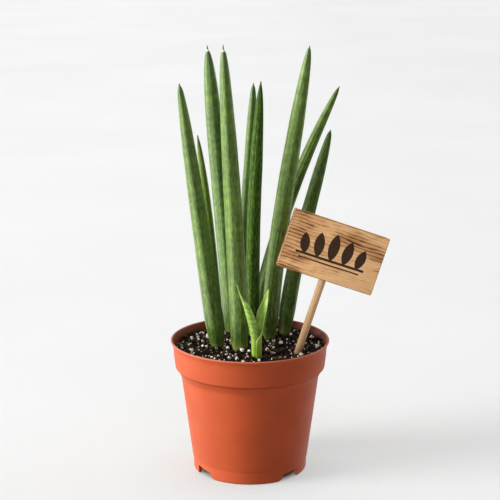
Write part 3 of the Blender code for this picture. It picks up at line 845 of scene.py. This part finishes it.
leaf_pieces = {}
for number, (name, leaf) in enumerate(LEAVES.items()):
    leaf_pieces[name] = bent_leaf(name, leaf, TWIST_STEP * number)
    reach = max(corner[2] for corner in leaf_pieces[name].bound_box)
    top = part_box(name)[1].z
    print(name, "top:", round(reach / MM, 1), "mm, CAD:", round(top / MM, 1), "mm")
remove(blank)


# %% [markdown]
# The skin is pale wax over dark green flesh. Its pattern has soft cross bands every few
# millimetres, thin dark streaks along the leaf, painted shade along the grooves and small pale
# flecks. Painted shade darkens the leaf in streaks towards the soil, where the foot is pale and
# yellow. The end is dark, and the point dry and brown. The wax shines a little green. Each leaf
# has its own share of these, as the photograph shows, and its own darkness: painted shade, and
# painted light where the darkness is below 0.

# %% The leaf skin
LEAF_TONES = {
    # name: yellowness, darkness (painted shade; painted light below 0), band strength,
    # # pale foot (mm), dry tip (mm), wax, shift
    "leaf_outer_left": (0.2, 0.15, 0.5, 7, 0.6, 1, 11),
    "leaf_thin_left": (0.75, 0, 0.4, 6, 0.8, 0.6, 23),
    "leaf_tall_left": (0.05, 0.2, 0.55, 6, 1.4, 1, 37),
    "leaf_tall_centre": (0.35, -0.2, 0.48, 10, 1.4, 1, 41),
    "leaf_middle_back": (0, 0.3, 0.3, 6, 0.8, 0.8, 59),
    "leaf_middle_front": (0.1, 1.2, 0.35, 6, 0.8, 0.2, 67),
    "leaf_tall_right": (0.25, -0.15, 0.5, 8, 0.8, 0.9, 73),
    "leaf_leaning_right": (0.35, 0.1, 0.5, 6, 0.8, 0.7, 89),
    "leaf_outer_right": (0.1, 0.6, 0.45, 10, 0.8, 0.5, 97),
}


def skin_finish(name, leaf):
    yellow, dark, banding, pale_foot, dry_tip, wax, shift = LEAF_TONES[name]
    length = green_length(leaf)
    finish = Finish(name + "_skin")
    place = finish.attribute("leaf_place", "Vector")
    point = finish.stretched(place, (leaf.girth / 2, leaf.girth / 2, 1), (shift, shift, 0))
    height = finish.axes(place)[2]
    groove = finish.attribute("groove")

    # Noise drawn out along the leaf, at three widths
    fibre = finish.streaks(point, (3.6, 3.6, 0.18), 3, 0.65)
    streak = finish.streaks(point, (1, 1, 0.1), 3, 0.6)
    fleck = finish.streaks(point, (2.4, 2.4, 0.26))

    # Cross bands, ragged where the fibres carry the colour up and down
    waver = finish.streaks(point, (0.1, 0.1, 0.02))
    level = height + 10 * waver + 7 * streak + 5 * fibre + shift
    slow = finish.node("CombineXYZ", None, {"X": level * 0.2})
    band = finish.noise(slow, 1).rise(0.36, 0.68)
    wide = finish.streaks(point, (0.02, 0.02, 0.022)).rise(0.35, 0.65)
    banded = band * banding * (0.35 + 0.5 * height.rise(20, 110))
    shade = (banded + streak.rise(0.42, 0.6) * 0.35 + wide * 0.3).least(1)
    # The darkness scales both colours: painted shade on leaves that others shade, painted light
    # below 0.
    bright = scaled((0.145 + 0.12 * yellow, 0.29 + 0.06 * yellow, 0.022), 1 - 0.4 * dark)
    deep = scaled((0.015 + 0.05 * yellow, 0.064 + 0.05 * yellow, 0.003), 1 - 0.3 * dark)

    # Painted shade in streaks towards the soil, a pale foot, a dark end, and a collar under the
    # dry point
    low = height.rise(95, 15) * (0.1 + 0.6 * streak.rise(0.4, 0.6))
    pale = finish.mix(height.rise(60, 200), (0.31, 0.45, 0.09), (0.3, 0.42, 0.15))
    foot = height.rise(pale_foot, 0) * (0.2 + 0.35 * fibre)
    ring = height.rise(length - 1.3 * dry_tip, length - 0.7 * dry_tip)
    pale_ring = min(dry_tip / 1.4, 1)
    colour = finish.layered(
        shade, bright, deep,
        (fibre.rise(0.46, 0.6) * 0.8, (0.012, 0.045, 0.003)),
        (low, (0.012, 0.042, 0.004)),
        (fleck.rise(0.53, 0.68) * 0.5, pale),
        # Painted shade in the grooves.
        (groove * groove * 0.35, (0.022, 0.055, 0.008)),
        (foot, (0.42, 0.48, 0.12)),
        (height.rise(3.2, 0.4) * (0.25 + 0.6 * streak), (0.17, 0.12, 0.07)),
        (height.rise(length - 14, length - 2) * 0.65, (0.03, 0.075, 0.018)),
        (ring * (0.3 + 0.65 * pale_ring), scaled((0.74, 0.6, 0.4), pale_ring)),
        (height.rise(length - 0.1, length + 0.3), (0.07, 0.062, 0.045)))

    rough = 0.38 + 0.14 * fibre + 0.06 * band + 0.25 * ring
    relief = 0.5 * fibre + 0.3 * streak + 0.15 * fleck
    finish.feed_shader({"IOR": 1.6, "Specular Tint": (0.95, 1, 0.74)})
    return finish.finished(colour, rough, relief, 0.2, gloss=wax)


for name, leaf in LEAVES.items():
    dress(leaf_pieces[name], "mature_leaf", skin_finish(name, leaf), name)


# %% [markdown]
# ## The young shoot
#
# In front stands a shoot of two soft young leaves: a small spear, and one that opens from the
# sheath round its foot into a channel. Their CAD solids have the right form in few faces, so
# each is copied, its triangles are merged, and subdivision rounds it off.

# %% Round off the shoot's two leaves
def rounded_copy(node, name):
    """A merged, subdivided copy of a CAD node."""
    piece = copy_of(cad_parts[node], name)
    start_editing(piece)
    weld(0.01)
    bpy.ops.mesh.tris_convert_to_quads()
    close_up()
    settle(piece)
    apply_modifier(piece, "SUBSURF", levels=2, render_levels=2)
    smooth_by_angle(piece, 60)
    return piece


# %% Young skin
def young_finish(name, banding):
    """Yellow-green skin with soft cross bands and fine lines up the leaf."""
    finish = Finish(name)
    point = finish.from_pot()
    across, _, height = finish.axes(point)
    lines = finish.streaks(point, (2.2, 2.2, 0.12))
    cloud = finish.streaks(point, (0.25, 0.25, 0.2), 3)
    band = (height + 7 * cloud + 0.35 * across).wave(3.6).rise(0.3, 1) * height.rise(108, 116)
    colour = finish.layered(
        cloud.rise(0.3, 0.7), (0.42, 0.56, 0.14), (0.28, 0.44, 0.06),
        (band * banding, (0.14, 0.28, 0.03)),
        (height.rise(112, 97) * 0.75, (0.3, 0.5, 0.02)),
        (lines.rise(0.5, 0.7) * 0.3, (0.16, 0.34, 0.03)),
        (height.rise(141, 152) * 0.6, (0.38, 0.5, 0.14)))
    return finish.finished(colour, 0.36 + 0.12 * lines, lines + 0.6 * band, 0.18, gloss=0.7)


for part, banding in (("spear", 0.55), ("sheath", 0.1)):
    node = f"shoot_{part}_leaf"
    piece = rounded_copy(node, f"shoot_{part}_soft")
    dress(piece, "young_leaf", young_finish(f"shoot_{part}_skin", banding), node)


# %% [markdown]
# ## The wooden label
#
# The label is a small pine board, scorched by a flame: the hard winter grain stands dark, and
# the edges are charred. The board is a cube with bevelled corners and edges, on a round dowel
# that is pushed into the soil. It is modelled upright, and then leaned as a whole.

# %% Where the label stands and how it leans
STICK_PLACE = (35.1, -20.7)
STICK_GROUND = 95.5
LEAN = Euler([radians(angle) for angle in (-6, 19.8, 9)], "YXZ")
LABEL = Matrix.LocRotScale(at(*STICK_PLACE, STICK_GROUND), LEAN, None)
BOARD_WIDTH, BOARD_DEPTH, BOARD_HEIGHT = 75, 8, 44.5
BOARD_FOOT = 58.6
BOARD_MIDDLE = Vector((0.7, 0, BOARD_FOOT + BOARD_HEIGHT / 2)) * MM


# %% Board with rounded corners and a hole for the dowel
HOLE_RADIUS = 2.86
DRILL_LENGTH = 19
DRILL_MIDDLE = BOARD_FOOT + 4.5


def stand_up(piece, middle):
    """Store each place on the wood in mm from a middle, for the grain, and lean the piece."""
    mark(piece, "wood_place", "FLOAT_VECTOR", lambda place: (place - middle) / MM)
    settle(piece, LABEL)
    smooth_by_angle(piece, 40)


board = add_shape("cube", "label_board_scorched", size=1, location=BOARD_MIDDLE,
                  scale=Vector((BOARD_WIDTH, BOARD_DEPTH, BOARD_HEIGHT)) * MM)
start_editing(board)
pick("EDGE", lambda edge: abs(edge.verts[0].co.y - edge.verts[1].co.y) > MM)
bpy.ops.mesh.bevel(offset=0.9 * MM, segments=4)
pick("EDGE", lambda edge: edge.calc_face_angle(0) > radians(60))
bpy.ops.mesh.bevel(offset=0.4 * MM, segments=3)
stop_editing()
cut_out(board, add_shape("cylinder", "dowel_drill", vertices=48, radius=HOLE_RADIUS * MM,
                         depth=DRILL_LENGTH * MM, location=(0, 0, DRILL_MIDDLE * MM)))
stand_up(board, BOARD_MIDDLE)


# %% Dowel, a turned rod with eased ends
DOWEL_RADIUS = 2.8
DOWEL_LOW, DOWEL_HIGH = -34 * MM, 72.3 * MM
DOWEL_RINGS = 28

stick = add_shape("circle", "label_stick_turned", vertices=40, radius=DOWEL_RADIUS * MM,
                  location=(0, 0, DOWEL_LOW))
start_editing(stick, "SELECT")
for ring in range(DOWEL_RINGS):
    extrude((0, 0, (DOWEL_HIGH - DOWEL_LOW) / DOWEL_RINGS))
for end in (DOWEL_LOW, DOWEL_HIGH):
    pick("EDGE", lambda edge: edge.is_boundary and abs(edge.verts[0].co.z - end) < 0.1 * MM)
    bpy.ops.mesh.edge_face_add()
    bpy.ops.mesh.bevel(offset=0.5 * MM, segments=2)
close_up()
stand_up(stick, Vector())


# %% [markdown]
# The board was cut from a log, so the same year rings show on its face and its ends. They are
# computed in the board's own millimetres: lines 2.5 mm apart run along it and waver a little,
# and a slow noise decides where the flame bit deeper. A burnt row of leaves over two lines of
# ground fills the place where labels carry words.

# %% A burnt row of leaves as a formula
GROUND = 8.2
LOWER_LINE = 11.4
BURNT_LEAVES = (  # foot, lean in degrees, length
    (-20.5, -12, 15.5), (-10.3, -6, 18.5), (0, 0, 20.5), (10.3, 6, 18.5), (20.5, 12, 15.5))


def line_mask(across, up, below, half_thick, half_long):
    """1 on a level line of ground."""
    return ((half_thick - abs(up + below)).rise(-0.1, 0.15)
            * (half_long - abs(across)).rise(-0.2, 0.3))


def row_mask(across, up):
    """1 on five pointed leaves in a row over two lines of ground; places in mm."""
    lower = line_mask(across, up, LOWER_LINE, 0.5, 24)
    mask = line_mask(across, up, GROUND, 0.9, 27).most(lower)
    for foot, lean, length in BURNT_LEAVES:
        turn = radians(lean)
        right, above = across - foot, up + GROUND
        along = right * sin(turn) + above * cos(turn)
        aside = abs(right * cos(turn) - above * sin(turn))
        share = (along / length).least(1).most(0)
        half = (share * (1 - share)).power(0.8) * (2.79 * length ** 0.5)
        mask = mask.most((half - aside).rise(-0.1, 0.2) * share.rise(0, 0.02))
    return mask


# %% Scorched pine
def pine_finish():
    finish = Finish("scorched_pine")
    place = finish.attribute("wood_place", "Vector")
    across, deep, up = finish.axes(place)

    # Year rings of uneven width, bent by slow noise
    bend = finish.streaks(place, (0.02, 0.05, 0.05))
    ripple = finish.streaks(place, (0.07, 0.1, 0.55), 3, 0.6)
    line = (up + 7 * bend + 3.2 * ripple + 0.25 * deep).wave(2.5)
    hair = finish.streaks(place, (0.1, 2.4, 3), 4, 0.65)
    pores = finish.streaks(place, (0.35, 6, 7))

    # Where the flame bit deeper: the left and the upper right
    patch = finish.noise(finish.stretched(place, (0.06, 0.1, 0.16), (3, 7, 1)), 1, 3, 0.6)
    left = across.rise(-8, -30) * up.rise(-18, -12)
    upper_right = across.rise(-10, 8) * (1 - abs(up - 12 + 0.1 * across) / 8).most(0)
    low_left = across.rise(-14, -26) * up.rise(-16, -21)
    burn = (patch.rise(0.42, 0.7) * 0.5 + left * 0.5 + upper_right * 0.9 + low_left * 0.8).least(1)
    scorch = line.power(3.5) * (burn * 1.3 - 0.1).most(0) * (0.3 + 1.1 * hair)

    # Charred rims: the top and bottom edges, and dots down both ends
    side = (BOARD_WIDTH / 2 - abs(across)).least(BOARD_HEIGHT / 2 - abs(up))
    rim = side.rise(0.75, 0.15) * (BOARD_DEPTH / 2 - abs(deep)).rise(1.3, 0.5)
    near_ends = abs(across).rise(34, 35)
    kept_rim = rim * (1 - near_ends * (1 - up.wave(1.9).rise(0.35, 0.65)))

    # The row of leaves, on the front face alone, grained like coal
    burnt = row_mask(across + 0.5 * (pores - 0.5) + 1, up + 0.5 * (hair - 0.5) - 1)
    burnt = burnt * deep.rise(-3.2, -3.7)
    coal = finish.mix(pores.rise(0.35, 0.7), (0.022, 0.011, 0.007), (0.075, 0.035, 0.018))

    colour = finish.layered(
        hair.rise(0.3, 0.7), (0.9, 0.6, 0.34), (0.8, 0.475, 0.225),
        (line.power(2.2) * (0.12 + 0.35 * burn), (0.5, 0.2, 0.06)),
        (burn * (0.45 + 0.45 * patch), (0.46, 0.2, 0.065)),
        (scorch.least(1) * 0.92, (0.06, 0.022, 0.01)),
        (pores.rise(0.6, 0.75) * 0.22, (0.34, 0.16, 0.06)),
        (kept_rim * (0.5 + 0.45 * hair), (0.06, 0.025, 0.012)),
        (burnt * 0.96, coal))
    relief = hair * 0.5 - line * 0.35 - burnt * 1.2 - scorch * 0.3
    return finish.finished(colour, 0.5 + 0.2 * hair + 0.2 * burnt, relief, 0.16, gloss=0.3)


dress(board, "label_wood", pine_finish(), "label_board")


# %% Pale dowel
def dowel_finish():
    """Fine straight grain, darker and damp where the stick meets the soil."""
    finish = Finish("pale_dowel")
    place = finish.attribute("wood_place", "Vector")
    height = finish.axes(place)[2]
    hair = finish.streaks(place, (2.2, 2.2, 0.05), 4, 0.65)
    fleck = finish.streaks(place, (4, 4, 0.35))
    stain = finish.streaks(place, (0.5, 0.5, 0.25), 3, 0.65)
    colour = finish.layered(
        hair.rise(0.32, 0.68), (0.67, 0.45, 0.26), (0.49, 0.3, 0.155),
        (fleck.rise(0.6, 0.72) * 0.4, (0.3, 0.15, 0.07)),
        ((height.rise(9, 0) * (0.2 + 0.6 * stain)).least(1), (0.22, 0.135, 0.08)))
    return finish.finished(colour, 0.6 + 0.15 * hair, hair + 0.4 * fleck, 0.12)


dress(stick, "stick_wood", dowel_finish(), "label_stick")


# %% [markdown]
# ## Crumbs, perlite and fibres on the soil
#
# Loose grains could be particles or instances, but those don't travel with an exported model.
# So a few are shaped by hand and copied many times, each with its own turn and size, and rays
# cast straight down find the soil under each. They keep clear of the stems and the wall, and a
# second lot of crumbs lies close around both. Each kind becomes one piece.

# %% Where grains may lie
SHOOT_PLACE = (4.7, -31)
GRAIN_REACH = 56.5
STEMS = [(*leaf.foot, 0.86 * leaf.girth * leaf.waist / 2) for leaf in LEAVES.values()]
STEMS += [(*SHOOT_PLACE, 4.2), (*STICK_PLACE, 2.9)]
soil_tree = BVHTree.FromObject(soil, bpy.context.evaluated_depsgraph_get())


def has_room(x, y, size):
    """Whether a grain of a size in mm fits between the wall and the stems."""
    return hypot(x, y) + 0.5 * size <= GRAIN_REACH and all(
        hypot(x - u, y - v) > radius + 0.4 * size for u, v, radius in STEMS)


def ground_under(x, y):
    """Height of the soil's surface in mm."""
    hit = soil_tree.ray_cast(at(x, y, 200), Vector((0, 0, -1)))[0]
    return hit.z / MM if hit else SOIL_EDGE


# %% Shape a few grains
def grain_blank(name, seed, jagged, flatness):
    """An uneven lump 1 mm across, of 80 faces; its place in the clouds makes it its own."""
    aside = Vector((7 * seed * MM, 0, 0))
    lump = add_shape("ico_sphere", name, subdivisions=2, radius=0.5 * MM, location=aside)
    roughen(lump, name, size=0.4, depth=1, strength=jagged)
    settle(lump, Matrix.Diagonal((1, 0.9, flatness, 1)) @ Matrix.Translation(-aside))
    return lump


crumb_blanks = [grain_blank(f"crumb_blank_{n}", n, 1.1, 0.75) for n in range(1, 7)]
perlite_blanks = [grain_blank(f"perlite_blank_{n}", n + 20, 0.7, 0.9) for n in range(1, 6)]


# %% Scatter copies of them
def heap_up(name, laid):
    """Join turned copies of blanks, each given as (blank, matrix), into one piece."""
    heap = bmesh.new()
    for blank, matrix in laid:
        grain = blank.data.copy()
        grain.transform(matrix)
        heap.from_mesh(grain)
        bpy.data.meshes.remove(grain)
    mesh = bpy.data.meshes.new(name)
    heap.to_mesh(mesh)
    heap.free()
    return add_object(name, mesh)


def scatter(blanks, name, count, seed, sizes, sink, density, apart=0):
    """Join many turned copies of the blanks, laid on the soil, into one piece.

    sizes: smallest and largest in mm. sink: how deep they sit, as a share of their size.
    density: the chance that a grain is kept at a place in mm.
    apart: the least distance between two grains, as a share of their sizes together.
    """
    draw = random.Random(seed)
    places, laid, tones = [], [], []
    while len(laid) < count:
        angle = draw.uniform(0, tau)
        distance = 56.2 * sqrt(draw.random())
        x, y = distance * cos(angle), distance * sin(angle)
        size = sizes[0] + (sizes[1] - sizes[0]) * draw.random() ** 2.5
        turn = Euler([draw.uniform(0, tau) for _ in range(3)])
        if draw.random() > density(x, y) or not has_room(x, y, size):
            continue
        if apart and any(hypot(x - u, y - v) < apart * (size + w) for u, v, w in places):
            continue
        places.append((x, y, size))
        centre = at(x, y, ground_under(x, y) + (0.5 - sink) * size)
        matrix = Matrix.LocRotScale(centre, turn, Vector((size,) * 3))
        laid.append((draw.choice(blanks), matrix))
        tones.append(draw.random())
    piece = heap_up(name, laid)
    corners = len(piece.data.vertices) // count
    tone = piece.data.attributes.new("tone", "FLOAT", "POINT")
    tone.data.foreach_set("value", [value for value in tones for _ in range(corners)])
    return piece


def rim_and_left(x, y):
    """Perlite has floated to the rim, and a little more to the left."""
    rim = hypot(x, y) / 56
    left = max(0, -x / 56)
    return 0.3 + 0.4 * rim ** 4 + 0.3 * left


def beside_something(x, y):
    """Crumbs heap up against the stems and the wall."""
    nearest = min(hypot(x - u, y - v) - radius for u, v, radius in STEMS)
    return 1 if nearest < 2.4 or hypot(x, y) > 53.8 else 0


CRUMBS = 1500
crumbs = scatter(crumb_blanks, "soil_crumbs", CRUMBS, seed=4, sizes=(1, 3.6), sink=0.3,
                 density=lambda x, y: 1)
collars = scatter(crumb_blanks, "soil_collars", 300, seed=15, sizes=(1.2, 2.9), sink=0.2,
                  density=beside_something)
perlite = scatter(perlite_blanks, "soil_perlite", 300, seed=9, sizes=(1.3, 3.6), sink=0.1,
                  density=rim_and_left, apart=0.72)
for piece, degrees in ((crumbs, 30), (collars, 30), (perlite, 38)):
    smooth_by_angle(piece, degrees)
remove(*crumb_blanks, *perlite_blanks)


# %% Perlite and fibres
def perlite_finish():
    """Puffed white glass, chalky, with peat dust in its hollows."""
    finish = Finish("perlite_white")
    point = finish.place()
    dust = finish.noise(point, 420, 4, 0.7).rise(0.52, 0.7)
    pit = finish.noise(point, 1900, 3, 0.7)
    stone = finish.noise(point, 130, 1)
    colour = finish.layered(stone.rise(0.35, 0.65), (0.86, 0.84, 0.79), (0.64, 0.6, 0.53),
                            (dust * 0.6, (0.13, 0.085, 0.055)))
    return finish.finished(colour, 0.75 + 0.15 * pit, pit, 0.2)


def fibre_finish():
    finish = Finish("peat_fibre")
    tone = finish.noise(finish.place(), 500)
    colour = finish.mix(tone.rise(0.35, 0.65), (0.2, 0.12, 0.06), (0.42, 0.28, 0.15))
    return finish.finished(colour, 0.7 + 0.1 * tone, tone, 0.1)


def fibre_blank(number):
    """A thin bent root fibre, drawn by extruding a small ring along its way."""
    draw = random.Random(60 + number)
    fibre = add_shape("circle", "fibre_blank", vertices=5, radius=0.13 * MM)
    start_editing(fibre, "SELECT")
    bpy.ops.mesh.edge_face_add()
    for step in range(5):
        sway = (draw.uniform(-0.35, 0.35) * MM, draw.uniform(-0.35, 0.35) * MM, 1.1 * MM)
        extrude(sway, "region")
    close_up()
    settle(fibre, Matrix.Rotation(pi / 2, 4, "X") @ Matrix.Translation((0, 0, -2.75 * MM)))
    return fibre


def scatter_fibres(count, seed):
    draw = random.Random(seed)
    blanks = [fibre_blank(number) for number in range(4)]
    laid = []
    while len(laid) < count:
        x, y = draw.uniform(-50, 50), draw.uniform(-50, 50)
        if hypot(x, y) > 50 or not has_room(x, y, 4):
            continue
        fibre = draw.choice(blanks)
        height = ground_under(x, y) + draw.uniform(0.5, 1.3)
        turn = Euler((draw.uniform(-0.3, 0.3), draw.uniform(-0.3, 0.3), draw.uniform(0, 6.28)))
        size = Vector((1, 1, 1)) * draw.uniform(0.6, 1.4)
        laid.append((fibre, Matrix.LocRotScale(at(x, y, height), turn, size)))
    fibres = heap_up("soil_fibres", laid)
    remove(*blanks)
    return fibres


fibres = scatter_fibres(60, 31)
crumb_peat = peat_finish("peat_crumbs", 1.3, "tone")
dress(crumbs, "potting_soil", crumb_peat)
dress(collars, "potting_soil", crumb_peat)
dress(perlite, "potting_soil", perlite_finish())
dress(fibres, "potting_soil", fibre_finish())


# %% [markdown]
# ## Sizes and finish
#
# The dressed model has to keep the CAD model's size, so both boxes are written out.

# %% Write the two boxes and finish
dressed_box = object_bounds()
for label, box in (("CAD", CAD_BOX), ("dressed", dressed_box)):
    print(label, "box in mm:", [[round(value / MM, 2) for value in corner] for corner in box])
